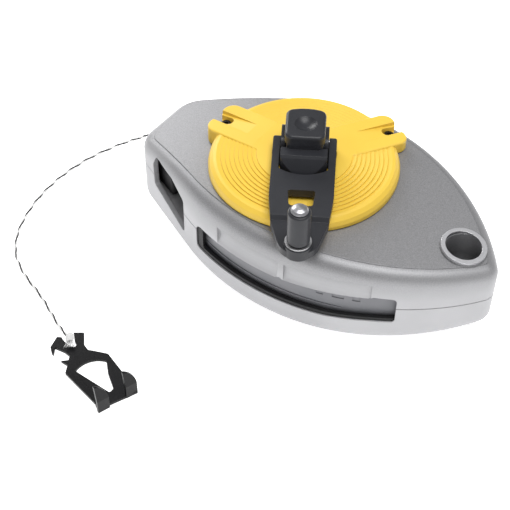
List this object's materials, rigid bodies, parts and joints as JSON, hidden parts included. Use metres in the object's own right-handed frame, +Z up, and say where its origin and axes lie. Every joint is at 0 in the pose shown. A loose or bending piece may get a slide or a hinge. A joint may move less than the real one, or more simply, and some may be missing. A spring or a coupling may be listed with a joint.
{
  "type": "chalk line reel",
  "caption": "Geared chalk line reel: a leaf-shaped two-shell case, round gear cover with a fold-up crank, sliding chalk door, and a twisted line that ends in a flat steel hook.",
  "frame": {"origin": "middle of the case's underside, on the flat that it lies on", "axes": "+X along the case towards the hanging hole, -X towards the nose where the line leaves, -Y the side with the chalk door, +Z up out of the underside through the crank"},
  "size_m": [0.2013, 0.168, 0.0722],
  "materials": {
    "silver_shell": "satin silver-grey moulded case, finely textured on its top face",
    "grommet_metal": "satin",
    "yellow_plastic": "satin yellow moulding",
    "crank_plastic": "dark grey satin glass-filled plastic",
    "door_plastic": "mid grey satin",
    "black_rubber": "matt black rubber",
    "plain_steel": "zinc-plated steel",
    "black_screw": "blackened steel screws",
    "bright_rivet": "bright steel rivet",
    "felt": "pressed felt",
    "spool_plastic": "dark moulded plastic",
    "gear_nylon": "natural nylon",
    "bush_bronze": "sintered bronze",
    "twisted_line": "twisted white and black cotton and polyester line",
    "hook_steel": "black-finished sheet steel"
  },
  "bodies": {
    "case": {"upper_shell": "silver_shell", "lower_shell": "silver_shell", "case_screws": "plain_steel", "hang_grommet": "grommet_metal", "door_seal": "black_rubber", "door_latch": "plain_steel", "wiper_block": "black_rubber", "line_wiper": "felt", "nose_eyelet": "plain_steel", "line_lead": "twisted_line", "main_axle": "plain_steel", "thrust_washer": "plain_steel", "dust_seal": "felt", "ring_gear": "gear_nylon", "gear_housing": "spool_plastic", "housing_screws": "plain_steel", "gear_cover": "yellow_plastic", "shaft_seal": "black_rubber", "cover_screws": "black_screw", "free_line": "twisted_line", "line_hook": "hook_steel", "line_knot": "twisted_line"},
    "door": {"chalk_door": "door_plastic"},
    "spool": {"spool": "spool_plastic", "spool_bush": "bush_bronze", "line_winding": "twisted_line", "sun_gear": "gear_nylon"},
    "crank": {"crank_hub": "crank_plastic", "planet_carrier": "gear_nylon", "hub_screw": "plain_steel", "planet_pins": "plain_steel", "pin_clips": "plain_steel", "hinge_pin": "plain_steel", "lever_spring": "plain_steel"},
    "planet_1": {"planet_gear_1": "gear_nylon"},
    "planet_2": {"planet_gear_2": "gear_nylon"},
    "planet_3": {"planet_gear_3": "gear_nylon"},
    "arm": {"crank_arm": "crank_plastic", "knob_pin": "bright_rivet", "knob_washer": "plain_steel"},
    "knob": {"knob_sleeve": "crank_plastic"},
    "lever": {"release_lever": "crank_plastic"}
  },
  "joints": [
    {"name": "crank_turn", "type": "hinge", "parent": "case", "child": "crank", "pos_m": [-0.0079, 0, 0.0495], "axis": [0, 0, 1], "continuous": true},
    {"name": "spool_turn", "type": "hinge", "parent": "case", "child": "spool", "pos_m": [-0.0079, 0, 0.0165], "axis": [0, 0, 1], "continuous": true},
    {"name": "arm_fold", "type": "hinge", "parent": "crank", "child": "arm", "pos_m": [-0.00977, 0.00308, 0.0529], "axis": [-0.8545, -0.5195, 0], "range_deg": [0, 95]},
    {"name": "knob_spin", "type": "hinge", "parent": "arm", "child": "knob", "pos_m": [0.02057, -0.04682, 0.0625], "axis": [0, 0, 1], "continuous": true},
    {"name": "lever_press", "type": "hinge", "parent": "crank", "child": "lever", "pos_m": [-0.00977, 0.00308, 0.0529], "axis": [-0.8545, -0.5195, 0], "range_deg": [0, 12], "stiffness_Nm_per_rad": 0.06},
    {"name": "door_slide", "type": "hinge", "parent": "case", "child": "door", "pos_m": [0, 0.05595, 0.0215], "axis": [0, 0, 1], "range_deg": [0, 12]},
    {"name": "planet_1_spin", "type": "hinge", "parent": "crank", "child": "planet_1", "pos_m": [0.0071, 0, 0.0383], "axis": [0, 0, 1], "continuous": true},
    {"name": "planet_2_spin", "type": "hinge", "parent": "crank", "child": "planet_2", "pos_m": [-0.0154, 0.01299, 0.0383], "axis": [0, 0, 1], "continuous": true},
    {"name": "planet_3_spin", "type": "hinge", "parent": "crank", "child": "planet_3", "pos_m": [-0.0154, -0.01299, 0.0383], "axis": [0, 0, 1], "continuous": true}
  ],
  "couplings": [
    {"joint": "spool_turn", "follows": "crank_turn", "ratio": 5},
    {"joint": "planet_1_spin", "follows": "crank_turn", "ratio": -2.6667},
    {"joint": "planet_2_spin", "follows": "crank_turn", "ratio": -2.6667},
    {"joint": "planet_3_spin", "follows": "crank_turn", "ratio": -2.6667}
  ]
}
